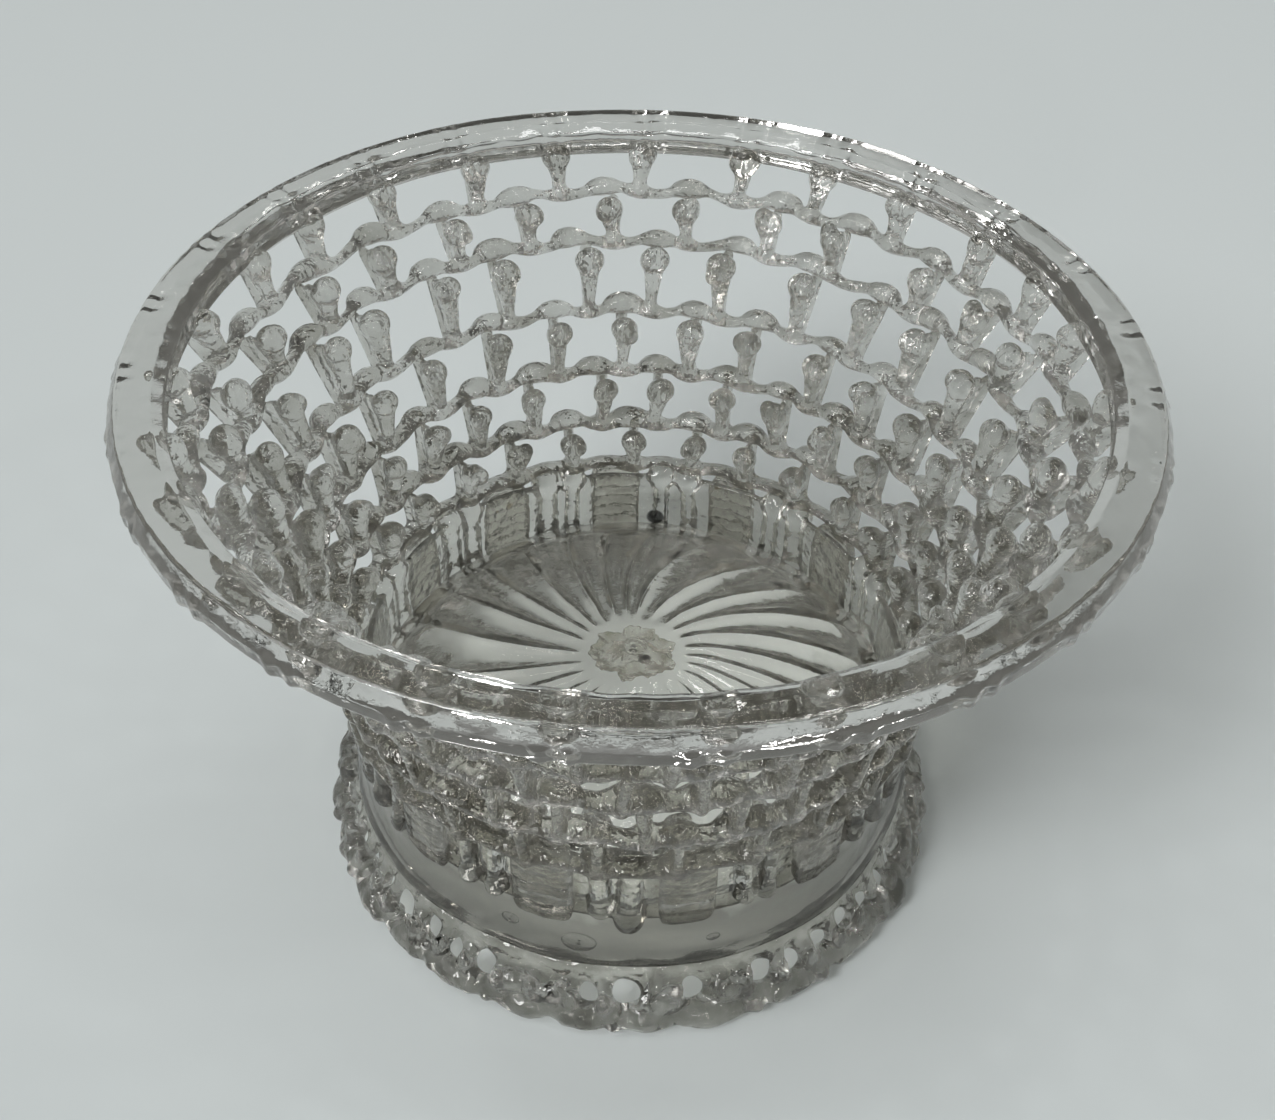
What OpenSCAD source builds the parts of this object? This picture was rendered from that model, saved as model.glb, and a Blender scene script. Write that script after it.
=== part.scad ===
// Openwork glass flower basket.
// A flared bowl of trailed glass courses on a low hollow base with a crimped foot.
// Units are millimetres, +Z is up and the origin is the centre of the foot's resting plane.

/* [Bowl] */
// Outside diameter of the rim
rim_d = 200; // [180:1:220]
// Height from the table to the top of the rim
total_h = 126; // [120:1:134]
// Radius of the lattice wall where it meets the base
waist_r = 62.5; // [61:0.5:65]
// Outward lean of the lattice wall over its whole height
wall_lean = 10.5; // [8:0.5:12]
// Bend of the flare: a higher value keeps the flare closer to the rim
flare_power = 3.4; // [2.6:0.1:4]

/* [Rim] */
// Radial width of the rim band
rim_w = 11.8; // [10:0.2:14]
// Height of the rim band
rim_h = 8; // [6:0.5:9]

/* [Lattice] */
// Struts in each course
strut_count = 27; // [23:1:29]
// Thickness of a strut along the wall
strut_t = 2.6; // [2:0.1:3.2]
// Depth of a strut through the wall
strut_depth = 5.6; // [4.5:0.1:6.5]
// Diameter of the bead on the inner top of a strut
bead_d = 6.8; // [5:0.1:7.5]
// Distance from the wall's middle in to a bead's centre
bead_inset = 4.4; // [3.6:0.1:4.8]
// Distance from a course's upper edge down to its beads, along the wall
bead_drop = 4; // [3:0.5:5]
// Height of a trail
trail_h = 2.8; // [2:0.1:3.4]
// Depth of a trail through the wall
trail_depth = 4.8; // [4:0.1:5.6]
// Angle that each course is turned from the one above, on top of half a pitch
course_turn = -1; // [-2:0.5:2]

/* [Base] */
// Stamped prunts around the base
prunt_count = 13; // [11:1:14]
// Width of a prunt
prunt_w = 12.5; // [10:0.5:13]
// Thickness of a prunt
prunt_t = 4; // [3.5:0.1:4.5]
// Lines stamped each way on a prunt
prunt_lines = 6; // [4:1:8]
// Angle that the prunts at the back run ahead of even spacing
prunt_drift = 3.9; // [0:0.1:4]
// Diameter of a clear drop between the prunts
drop_d = 4.4; // [4:0.1:5]
// Radius of the floor's edge inside the bowl
floor_r = 55; // [54:0.5:56]
// Height of the floor's edge inside the bowl
floor_z = 34.5; // [33:0.5:36]
// Rise of the kicked-up floor from its edge to its middle
kick_h = 12; // [8:0.5:13]
// Thickness of the blown base
base_t = 4.4; // [4:0.1:5]
// Diameter of the pontil mark under the floor
pontil_d = 21; // [16:1:24]

/* [Foot] */
// Outside diameter of the foot
foot_d = 142; // [138:1:146]
// Diameter of the rope that the foot rests on
rope_d = 6.6; // [6:0.1:7.2]
// Height of the lip around the base, above the table
lip_z = 18; // [17:0.5:19]
// Radius of the lip around the base
lip_r = 63.5; // [63:0.5:64.5]
// Crimps between the lip and the rope
crimp_count = 54; // [40:1:60]
// Thickness of a crimp
crimp_d = 3.4; // [2.6:0.1:3.6]

/* [Hidden] */
glass = [0.78, 0.80, 0.78, 0.6];
glass_dark = [0.66, 0.69, 0.67, 0.6];
$fn = 48;

rim_z = total_h - rim_h / 2;
base_top_z = 47;
pitch = 360 / strut_count;
first_angle = 90;

// Heights of the top of the first course and of the six trails under it
course_z = [total_h - 6.5, 110.5, 101.5, 87.5, 73.5, 60, 48.5];
// The first course's struts stop this far below its top
top_gap = 0.5;
// From the fifth course down the struts are this much shallower
shallow_from = 5;
shallow_cut = 0.6;
// From the fourth course down each course's beads are this much smaller than the last
small_from = 4;
bead_step = 0.3;

// The wall's radius grows steadily from the waist, then flares to meet the rim
rim_r = rim_d / 2 - rim_w / 2;
seat_z = total_h - rim_h;
flare = rim_r - waist_r - wall_lean;
function wall_t(z) = max(0, (z - base_top_z) / (seat_z - base_top_z));
function wall_r(z) = waist_r + wall_lean * wall_t(z) + flare * pow(wall_t(z), flare_power);
function wall_slope(z) = wall_r(z + 0.5) - wall_r(z - 0.5);

// Point that lies a distance inside the wall's middle, square to the wall
function inside(z, d) =
    let (s = wall_slope(z), n = sqrt(1 + s * s))
    [wall_r(z) - d / n, z + d * s / n];

// Where course i (1 to 6) has its upper and lower ends
function course_top(i) = inside(course_z[i - 1] - (i == 1 ? top_gap : 0), 0);
function course_foot(i) = inside(course_z[i], 0);
function course_angle(i) = first_angle + (i % 2 == 0 ? pitch / 2 : 0) + course_turn * (i - 1);

// Flat bar with round ends from point p to point q, given as radius and height
module bar(p, q, w, t) {
    run = norm(q - p);
    tilt = atan2(q[1] - p[1], q[0] - p[0]);
    rotate([90, 0, 0])
        linear_extrude(t, center = true)
            translate(p)
                rotate(tilt) {
                    translate([0, -w / 2])
                        square([run, w]);
                    circle(d = w);
                    translate([run, 0])
                        circle(d = w);
                }
}

module around(count, first = 0) {
    for (k = [0 : count - 1])
        rotate(first + k * 360 / count)
            children();
}

// Ring whose section is a bar with round ends, set square to the wall
module trail(i) {
    s = wall_slope(course_z[i]);
    half = (trail_depth - trail_h) / 2;
    color(glass_dark)
        rotate_extrude($fn = 96)
            translate(course_foot(i))
                rotate(-atan(s)) {
                    square([2 * half, trail_h], center = true);
                    for (side = [-1, 1])
                        translate([side * half, 0])
                            circle(d = trail_h);
                }
}

module struts(i) {
    depth = strut_depth - (i >= shallow_from ? shallow_cut : 0);
    color(glass)
        around(strut_count, course_angle(i))
            bar(course_foot(i), course_top(i), depth, strut_t);
}

module beads(i) {
    centre = inside(course_z[i - 1] - bead_drop, bead_inset);
    size = bead_d - max(0, i - small_from + 1) * bead_step;
    color(glass)
        around(strut_count, course_angle(i))
            translate([centre[0], 0, centre[1]])
                sphere(d = size);
}

// Thick band with a flat top face and round edges
module rim_ring() {
    flat = rim_w - rim_h;
    color(glass)
        rotate_extrude($fn = 128)
            translate([rim_r, rim_z]) {
                square([flat, rim_h], center = true);
                for (side = [-1, 1])
                    translate([side * flat / 2, 0])
                        circle(d = rim_h);
            }
}

first_prunt_angle = 281.4;
function prunt_angle(k) =
    let (even = first_prunt_angle + k * 360 / prunt_count)
    even + prunt_drift * (1 + sin(even));

// Square pad stamped with a grid of grooves on its outer face
shoulder_z = 28;
prunt_h = course_z[6] - 0.4 - shoulder_z;
groove = 0.5;
module prunt() {
    step_w = prunt_w / prunt_lines;
    step_h = prunt_h / prunt_lines;
    translate([waist_r - prunt_t, -prunt_w / 2, shoulder_z])
        difference() {
            cube([prunt_t, prunt_w, prunt_h]);
            for (k = [1 : prunt_lines - 1]) {
                translate([prunt_t - groove, k * step_w - groove / 2, -1])
                    cube([1, groove, prunt_h + 2]);
                translate([prunt_t - groove, -1, k * step_h - groove / 2])
                    cube([1, prunt_w + 2, groove]);
            }
        }
}

module waffle_prunts() {
    color(glass)
        for (k = [0 : prunt_count - 1])
            rotate(prunt_angle(k))
                prunt();
}

// Two drops stand in each gap between prunts, this many degrees either side of its middle,
// and each ends in a round tip a little above the shoulder
drop_r = waist_r - drop_d / 2 - 0.2;
drop_spread = 3.4;
drop_lift = 0.5;
module clear_drops() {
    color(glass)
        for (k = [0 : prunt_count - 1])
            for (side = [-1, 1])
                rotate((prunt_angle(k) + prunt_angle(k + 1)) / 2 + side * drop_spread)
                    translate([drop_r, 0, shoulder_z + drop_lift]) {
                        cylinder(d = drop_d, h = prunt_h - drop_lift);
                        sphere(d = drop_d);
                    }
}

// Blown base: a kicked-up floor, a shoulder that carries the prunts, and a lip
dome_steps = 10;
function dome_z(r) = floor_z + kick_h * (1 - pow(r / floor_r, 2));
lip_h = 3;
// Corners of the shoulder, outside from the floor down to the lip and inside back up
shoulder_top = [waist_r - 1.5, shoulder_z + 0.5];
shoulder_side = [waist_r - 0.8, shoulder_z - 4];
shoulder_inside = [waist_r - base_t - 1.5, shoulder_z - 6];
lip_inset = 1;
module base_body() {
    top = [for (k = [0 : dome_steps]) let (r = k * floor_r / dome_steps) [r, dome_z(r)]];
    under = [for (k = [dome_steps : -1 : 0])
        let (r = k * (floor_r - base_t) / dome_steps)
        [r, dome_z(r) - base_t]];
    shoulder = [
        shoulder_top,
        shoulder_side,
        [lip_r, lip_z],
        [lip_r - lip_inset, lip_z - lip_h],
        [lip_r - base_t - lip_inset, lip_z - lip_h],
        shoulder_inside
    ];
    color(glass)
        rotate_extrude($fn = 96)
            polygon(concat(top, shoulder, under));
}

// Rough patch of broken glass under the middle of the floor
pontil_h = 2.4;
pontil_bite = 1;
module pontil_mark() {
    under_z = dome_z(pontil_d / 2) - base_t;
    color(glass_dark)
        translate([0, 0, under_z - pontil_h + pontil_bite])
            cylinder(d = pontil_d, h = pontil_h);
}

// Foot: a collar pressed up under the lip, crimps that splay outwards, and a rope worn flat where it rests
collar_d = 4.6;
collar_inset = 2.2;
collar_bite = 0.6;
rope_worn = 0.4;
collar_r = lip_r - collar_inset;
collar_z = lip_z - lip_h - collar_d / 2 + collar_bite;
rope_r = foot_d / 2 - rope_d / 2;
rope_z = rope_d / 2 - rope_worn;
module foot_collar() {
    color(glass)
        rotate_extrude($fn = 96)
            translate([collar_r, collar_z])
                circle(d = collar_d);
}

module foot_crimps() {
    rise = collar_z - rope_z;
    reach = rope_r - collar_r;
    color(glass_dark)
        around(crimp_count)
            translate([collar_r, 0, collar_z])
                rotate([0, 90 + atan2(rise, reach), 0])
                    cylinder(d = crimp_d, h = norm([rise, reach]), $fn = 32);
}

module foot_rope() {
    color(glass_dark)
        rotate_extrude($fn = 128)
            intersection() {
                translate([rope_r, rope_z])
                    circle(d = rope_d);
                translate([rope_r - rope_d, 0])
                    square([2 * rope_d, rope_d]);
            }
}

rim_ring();
trail(1);  // trail_1
trail(2);  // trail_2
trail(3);  // trail_3
trail(4);  // trail_4
trail(5);  // trail_5
trail(6);  // trail_6
struts(1);  // struts_1
struts(2);  // struts_2
struts(3);  // struts_3
struts(4);  // struts_4
struts(5);  // struts_5
struts(6);  // struts_6
beads(1);  // beads_1
beads(2);  // beads_2
beads(3);  // beads_3
beads(4);  // beads_4
beads(5);  // beads_5
beads(6);  // beads_6
waffle_prunts();
clear_drops();
base_body();
pontil_mark();
foot_collar();
foot_crimps();
foot_rope();
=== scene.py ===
"""Looks of the openwork glass flower basket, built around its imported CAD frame."""
import math

import bmesh
import bpy
import numpy as np
from mathutils import Matrix, Vector


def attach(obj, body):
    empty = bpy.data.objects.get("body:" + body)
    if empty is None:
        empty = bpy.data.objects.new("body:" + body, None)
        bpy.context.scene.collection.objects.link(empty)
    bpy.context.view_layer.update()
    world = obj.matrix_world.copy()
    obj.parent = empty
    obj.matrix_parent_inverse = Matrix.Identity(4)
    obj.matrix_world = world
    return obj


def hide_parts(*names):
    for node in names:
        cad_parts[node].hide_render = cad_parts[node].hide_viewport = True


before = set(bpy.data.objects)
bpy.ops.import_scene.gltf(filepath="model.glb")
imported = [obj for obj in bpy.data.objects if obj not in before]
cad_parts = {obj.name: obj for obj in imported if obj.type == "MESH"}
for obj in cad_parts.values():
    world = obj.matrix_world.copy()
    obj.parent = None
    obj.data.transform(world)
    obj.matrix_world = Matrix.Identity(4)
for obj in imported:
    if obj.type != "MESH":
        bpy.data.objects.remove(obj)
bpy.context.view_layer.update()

MM = 0.001
TAU = 2 * math.pi
rng = np.random.default_rng(27)


# ---------------------------------------------------------------- frame ----

def ring_of(node):
    """Middle of a ring-shaped CAD node's section as (radius, height), and its half sizes, in mm."""
    co = np.array([v.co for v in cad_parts[node].data.vertices]) / MM
    r = np.hypot(co[:, 0], co[:, 1])
    low = np.array([r.min(), co[:, 2].min()])
    high = np.array([r.max(), co[:, 2].max()])
    return (low + high) / 2, (high - low) / 2


RIM, RIM_HALF = ring_of("rim_ring")
TRAILS = [ring_of(f"trail_{i}")[0] for i in range(1, 7)]
BEADS = [ring_of(f"beads_{i}") for i in range(1, 7)]
PRUNTS, PRUNT_HALF = ring_of("waffle_prunts")
DROPS, DROP_HALF = ring_of("clear_drops")
COLLAR, COLLAR_HALF = ring_of("foot_collar")
ROPE, ROPE_HALF = ring_of("foot_rope")
PONTIL, PONTIL_HALF = ring_of("pontil_mark")

# Counts and angles repeat the CAD model's, in degrees
STRUTS = 27
PITCH = 360 / STRUTS
FIRST_ANGLE = 90
COURSE_TURN = -1
PRUNT_COUNT = 13
PRUNT_START = 281.4
PRUNT_SPREAD = 3.9
CRIMPS = 54
RIBS = 26


def course_angles(i):
    """Angles of the struts of course i (1 to 6), in radians."""
    start = FIRST_ANGLE + (PITCH / 2 if i % 2 == 0 else 0) + COURSE_TURN * (i - 1)
    return np.radians(start + PITCH * np.arange(STRUTS))


def prunt_angle(k):
    """Angle of prunt k in degrees: wider apart on the right than on the left."""
    even = PRUNT_START + 360 * k / PRUNT_COUNT
    return even + PRUNT_SPREAD * (1 + math.sin(math.radians(even)))


# ---------------------------------------------------------- ring fields ----

def about_axis(r, angle, z):
    """Points at a radius, an angle in radians and a height, over arrays of one shape."""
    return np.stack([r * np.cos(angle), r * np.sin(angle), z], axis=-1)


OUTSIDE = 9.0  # the distance before anything is added
RELAX_ROUNDS = 2
RELAX_SHARE = 0.5
TINY = 1e-6


def smooth_min(a, b, blend):
    """The smaller of two distances, rounded over where they differ by less than blend."""
    h = np.clip(blend - np.abs(a - b), 0, None) / blend
    return np.minimum(a, b) - h * h * blend / 4


def ellipsoid(p, centre, radii):
    q = [(p[k] - centre[k]) / radii[k] for k in range(3)]
    k0 = np.sqrt(q[0] ** 2 + q[1] ** 2 + q[2] ** 2) + TINY
    k1 = np.sqrt(sum((q[k] / radii[k]) ** 2 for k in range(3))) + TINY
    return k0 * (k0 - 1) / k1


def capsule(p, a, b, ra, rb):
    """Rod from a to b whose radius goes from ra to rb."""
    ab = np.subtract(b, a)
    h = sum((p[k] - a[k]) * ab[k] for k in range(3)) / ab.dot(ab)
    h = np.clip(h, 0, 1)
    d = np.sqrt(sum((p[k] - a[k] - h * ab[k]) ** 2 for k in range(3)))
    return d - (ra + (rb - ra) * h)


def slab(p, centre, half, rounding):
    """Block with rounded edges."""
    q = [np.abs(p[k] - centre[k]) - half[k] + rounding for k in range(3)]
    out = np.sqrt(sum(np.clip(x, 0, None) ** 2 for x in q))
    return out + np.minimum(np.maximum(np.maximum(q[0], q[1]), q[2]), 0) - rounding


class RingField:
    """Signed distance to hot glass on a grid that follows a ring.

    A point is (t, n, s) in mm: along the ring from an angle, in from the wall, and up the wall.
    """

    def __init__(self, foot, up, n_range, s_range, cell):
        self.foot = np.array(foot, float)
        self.up = np.array(up, float) / np.hypot(*up)
        self.inward = np.array([-self.up[1], self.up[0]])
        self.n = np.arange(n_range[0], n_range[1], cell)
        self.s = np.arange(s_range[0], s_range[1], cell)
        n, s = np.meshgrid(self.n, self.s, indexing="ij")
        self.grid_n, self.grid_s = n[None], s[None]
        self.radius = (self.foot[0] + n * self.inward[0] + s * self.up[0])[None]
        self.count = int(TAU * self.radius.mean() / cell)
        self.step = TAU / self.count
        self.f = np.full((self.count,) + n.shape, OUTSIDE, np.float32)

    def add(self, angle, half, shape, blend):
        """Fuses shape(point) into the glass within half mm of an angle along the ring."""
        middle = round(angle / self.step)
        reach = math.ceil(half / (self.step * self.radius.min()))
        index = np.arange(middle - reach, middle + reach + 1)
        t = (index * self.step - angle)[:, None, None] * self.radius
        d = shape((t, self.grid_n, self.grid_s))
        index = index % self.count
        self.f[index] = smooth_min(self.f[index], d, blend)

    def add_ring(self, section, blend):
        """Fuses a thread all round: section(angle, n, s) gives its distance."""
        angle = (np.arange(self.count) * self.step)[:, None, None]
        d = section(angle, self.grid_n, self.grid_s)
        self.f = smooth_min(self.f, d, blend).astype(np.float32)

    def cut(self, angle, half, shape, blend):
        """Takes shape(point) out of the glass, the other way round from add."""
        self.f = -self.f
        self.add(angle, half, shape, blend)
        self.f = -self.f

    def mesh(self, name):
        points, quads = surface_net(self.f)
        points = relax_points(points, quads, self.count)
        cell = self.n[1] - self.n[0]
        angle = points[:, 0] * self.step
        n = self.n[0] + points[:, 1] * cell
        s = self.s[0] + points[:, 2] * cell
        r = self.foot[0] + n * self.inward[0] + s * self.up[0]
        z = self.foot[1] + n * self.inward[1] + s * self.up[1]
        return new_mesh(name, about_axis(r, angle, z), quads)


CORNERS = [(a, b, c) for a in (0, 1) for b in (0, 1) for c in (0, 1)]
EDGES = [(p, q) for p in range(8) for q in range(p + 1, 8)
         if sum(abs(CORNERS[p][k] - CORNERS[q][k]) for k in range(3)) == 1]


def surface_net(f):
    """Quad mesh of the field's zero level. The first axis wraps round, the others are closed off."""
    f = np.pad(f, ((0, 0), (1, 1), (1, 1)), constant_values=1.0)
    turns, rows, cols = f.shape
    wrap = np.concatenate([f, f[:1]])
    corner = [wrap[a:turns + a, b:rows - 1 + b, c:cols - 1 + c] for a, b, c in CORNERS]
    inside = sum((v < 0).astype(np.uint8) for v in corner)
    active = (inside > 0) & (inside < 8)
    cells = np.argwhere(active)
    values = [v[active] for v in corner]
    total = np.zeros((len(cells), 3))
    crossings = np.zeros(len(cells))
    for p, q in EDGES:
        a, b = values[p], values[q]
        cut = (a < 0) != (b < 0)
        share = np.where(cut, a / np.where(cut, a - b, 1), 0)
        start = np.array(CORNERS[p], float)
        way = np.array(CORNERS[q], float) - start
        total += np.where(cut[:, None], start + share[:, None] * way, 0)
        crossings += cut
    points = cells + total / crossings[:, None] - (0, 1, 1)
    ids = np.full(active.shape, -1, np.int64)
    ids[active] = np.arange(len(cells))
    ids = np.concatenate([ids[-1:], ids])
    quads = []
    for axis in range(3):
        ahead = [0, 0, 0]
        ahead[axis] = 1
        span = [turns, rows - 1 if axis == 1 else rows, cols - 1 if axis == 2 else cols]
        here = wrap[:turns, :span[1], :span[2]]
        there = wrap[tuple(slice(a, size + a) for a, size in zip(ahead, span))]
        flips = np.argwhere((here < 0) != (there < 0))
        rising = here[tuple(flips.T)] < 0
        side = [k for k in range(3) if k != axis]
        if axis == 1:
            side = [2, 0]
        corner_ids = []
        for da, db in ((-1, -1), (0, -1), (0, 0), (-1, 0)):
            at = flips.copy()
            at[:, side[0]] += da
            at[:, side[1]] += db
            corner_ids.append(ids[at[:, 0] + 1, at[:, 1], at[:, 2]])
        quad = np.stack(corner_ids, axis=1)
        quad[~rising] = quad[~rising][:, ::-1]
        quads.append(quad)
    return points, np.concatenate(quads)


def relax_points(points, quads, turns):
    """Evens out the steps that the grid leaves, with the first axis wrapping round."""
    pairs = np.concatenate([quads[:, [k, (k + 1) % 4]] for k in range(4)])
    for _ in range(RELAX_ROUNDS):
        total = np.zeros_like(points)
        count = np.zeros(len(points))
        for a, b in ((0, 1), (1, 0)):
            delta = points[pairs[:, b]] - points[pairs[:, a]]
            delta[:, 0] = (delta[:, 0] + turns / 2) % turns - turns / 2
            for k in range(3):
                total[:, k] += np.bincount(pairs[:, a], delta[:, k], len(points))
            count += np.bincount(pairs[:, a], minlength=len(points))
        points = points + RELAX_SHARE * total / count[:, None]
    return points


def add_object(name, data):
    made = bpy.data.objects.new(name, data)
    bpy.context.scene.collection.objects.link(made)
    return made


def new_mesh(name, co_mm, *face_sets):
    """A smooth-shaded object from points in mm and arrays of faces."""
    mesh = bpy.data.meshes.new(name)
    face_sets = [np.asarray(faces, np.int32) for faces in face_sets]
    corners = np.concatenate([faces.ravel() for faces in face_sets])
    sizes = np.concatenate([np.full(len(faces), faces.shape[1]) for faces in face_sets])
    starts = np.concatenate([[0], np.cumsum(sizes)[:-1]]).astype(np.int32)
    mesh.vertices.add(len(co_mm))
    mesh.vertices.foreach_set("co", (np.asarray(co_mm) * MM).astype(np.float32).ravel())
    mesh.loops.add(len(corners))
    mesh.loops.foreach_set("vertex_index", corners)
    mesh.polygons.add(len(sizes))
    mesh.polygons.foreach_set("loop_start", starts)
    mesh.update(calc_edges=True)
    mesh.validate()
    mesh.shade_smooth()
    return add_object(name, mesh)


def grid_faces(rows, cols, wrap_rows, wrap_cols):
    """Quads of a grid of points stored row by row."""
    i = np.arange(rows if wrap_rows else rows - 1)
    j = np.arange(cols if wrap_cols else cols - 1)
    i, j = (x.ravel() for x in np.meshgrid(i, j, indexing="ij"))
    i2, j2 = (i + 1) % rows, (j + 1) % cols
    return np.stack([i * cols + j, i2 * cols + j, i2 * cols + j2, i * cols + j2], axis=1)


def waves(angle, terms, size, seed):
    """Slow random wobble round the ring: a sum of a few sines of the angle."""
    pick = np.random.default_rng(seed)
    total = np.zeros_like(angle)
    for k in terms:
        total = total + pick.normal() * np.cos(k * angle + pick.uniform(0, TAU))
    return total * size / math.sqrt(len(terms))


# -------------------------------------------------------------- lattice ----

CELL = 0.5
RIM_EDGE = 1.2
RIM_INSET = (0.45, 0.3)
RIM_STEPS = 44  # points round the rim for each strut
UNDER_RIM = (3.2, 0.1)  # where the first struts end: in from the rim's middle, and up into it
BEAD_LIFT = 0.25
STRUT_REACH = 8  # half the width along the ring that a strut or hump can fill
STRUT_JITTER = 0.8  # degrees


def hump_shape(lift, fat):
    """The loop of a trail over the strut that hangs from it."""
    return lambda p: ellipsoid(p, (0, -0.1, 1.1 + lift), (4.1 * fat, 3.0, 2.3 * fat))


def strut_shape(top, bead_n, bead_s, bead_r, deep, joint):
    """Distance to one strut: a cord out to its bead, an outer cord, the web between them and a foot.

    The strut stands top mm high, and its outer cord and web end joint mm above that. Its bead has
    a lobe on one side and, three times in four, a dimple.
    """
    thick, lean, twist, round_ = 1 + 0.10 * rng.normal(size=4)
    sway = 0.7 * rng.normal()
    inner = 1.7 + 0.25 * rng.normal()
    outer = -deep + 0.3 * rng.normal()
    bead = bead_r * (1.0 + 0.06 * rng.normal())
    tilt = 0.5 * rng.normal()
    curl = 1 if rng.random() < 0.5 else -1
    lobe = (tilt + curl * 1.3, bead_n + 0.9, bead_s + 0.9 * rng.normal())
    pinch = (tilt - 0.4 * curl, bead_n + bead * 0.95, bead_s - 0.5 + 0.5 * rng.normal())
    pinch_r = np.array((1.1 + 0.5 * rng.random(), 1.1, 1.4 + 0.8 * rng.random()))
    pinch_r = pinch_r * (rng.random() < 0.75) + 0.05

    def strut(p):
        t = p[0] - sway * p[2] / top
        q = (t, p[1], p[2])
        cord = capsule(q, (0, inner, 0.2), (tilt, bead_n - 0.8, bead_s - 0.2),
                       0.95 * thick, 2.7 * round_)
        back = capsule(q, (0.3 * tilt, outer, 0), (0, outer * 0.8, top + joint), 1.1, 1.3 * lean)
        half_up = top / 2 + joint / 2
        web = slab(q, (0, (inner + outer) / 2, half_up),
                   (0.75 * thick, (inner - outer) / 2, half_up), 0.6)
        d = smooth_min(cord, back, 0.8)
        d = smooth_min(d, web, 0.8)
        foot = ellipsoid(q, (0, 0.8, -0.3), (3.2 * twist, 2.5, 1.3))
        d = smooth_min(d, foot, 2.0)
        ball = ellipsoid(q, (tilt, bead_n - 0.2, bead_s + 0.2),
                         (bead, bead * 0.82, bead * 0.86))
        d = smooth_min(d, ball, 1.0)
        d = smooth_min(d, ellipsoid(q, lobe, (2.0, 1.7, 2.1)), 0.7)
        dimple = ellipsoid(q, pinch, pinch_r)
        return -smooth_min(-d, dimple, 0.7)

    return strut


def rounded(corners, radius, steps, gap):
    """Closed outline round a convex polygon at a distance, with arcs at its corners.

    Each arc has that many steps, and points along the sides are about gap apart.
    """
    out = []
    for k, corner in enumerate(corners):
        before, after = corners[k - 1], corners[(k + 1) % len(corners)]
        a0 = math.atan2(corner[1] - before[1], corner[0] - before[0]) - math.pi / 2
        a1 = math.atan2(after[1] - corner[1], after[0] - corner[0]) - math.pi / 2
        turn = (a1 - a0) % TAU
        for a in a0 + np.linspace(0, turn, steps):
            out.append((corner[0] + radius * math.cos(a), corner[1] + radius * math.sin(a)))
        side = math.dist(corner, after)
        count = int(side / gap)
        for u in np.arange(1, count) / count if count > 1 else ():
            out.append((corner[0] + u * (after[0] - corner[0]) + radius * math.cos(a1),
                        corner[1] + u * (after[1] - corner[1]) + radius * math.sin(a1)))
    return np.array(out)


def make_rim():
    """Band with a flat top and a slanting outer face, pulled a little out of true by hand."""
    turns = STRUTS * RIM_STEPS
    angle = (np.arange(turns) * TAU / turns)[:, None]
    w, h = RIM_HALF - RIM_EDGE - RIM_INSET
    corners = [(-w, 0.9 - h), (-w + 0.7, -h), (w - 1.4, -h), (w - 0.2, 0.6 - h),
               (w, 0), (w - 1.3, h), (-w + 1.6, h), (-w, h - 1.1)]
    line = rounded(corners, RIM_EDGE, 7, 1.0)
    x, z = line[None, :, 0], line[None, :, 1]
    face = np.clip((x - w + 2.2) / 1.5, 0, 1)
    x = x * (1 + waves(angle, (2, 3, 5, 9, 14), 0.02, 3))
    x = x + face * waves(angle, (61, 83, 108, 135, 171), 0.03, 13)
    roll = np.clip((z - h + 2.4) / 2, 0, 1) * np.clip((-w + 4.6 - x) / 2, 0, 1)
    z = z + roll * waves(angle, (17, 28, 41, 59, 77), 0.14, 16)
    # Two lobes over each strut, on the lower half of the outer face
    pitch = np.radians(PITCH)
    off = (angle - course_angles(1)[0] + pitch / 2) % pitch - pitch / 2
    reach = np.degrees(off) + waves(angle, (13, 22, 31), 0.25, 14)
    lobes = np.exp(-((reach + 1.35) / 0.85) ** 2) + 0.8 * np.exp(-((reach - 1.35) / 0.7) ** 2)
    low = np.clip((1.3 - z) / 1.2, 0, 1) * np.clip((x - w + 2.6) / 1.6, 0, 1)
    x = x + 0.55 * lobes * low
    z = z - 0.5 * lobes * low
    z = z * (1 + waves(angle, (2, 4, 7, 11), 0.025, 4))
    r = RIM[0] + x + waves(angle, (2, 3, 4), 0.2, 5)
    z = RIM[1] + z + waves(angle, (2, 3, 5, 8), 0.15, 6)
    co = about_axis(r, angle, z).reshape(-1, 3)
    piece = new_mesh("rim", co, grid_faces(turns, len(line), True, True))
    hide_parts("rim_ring")
    return piece


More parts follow.
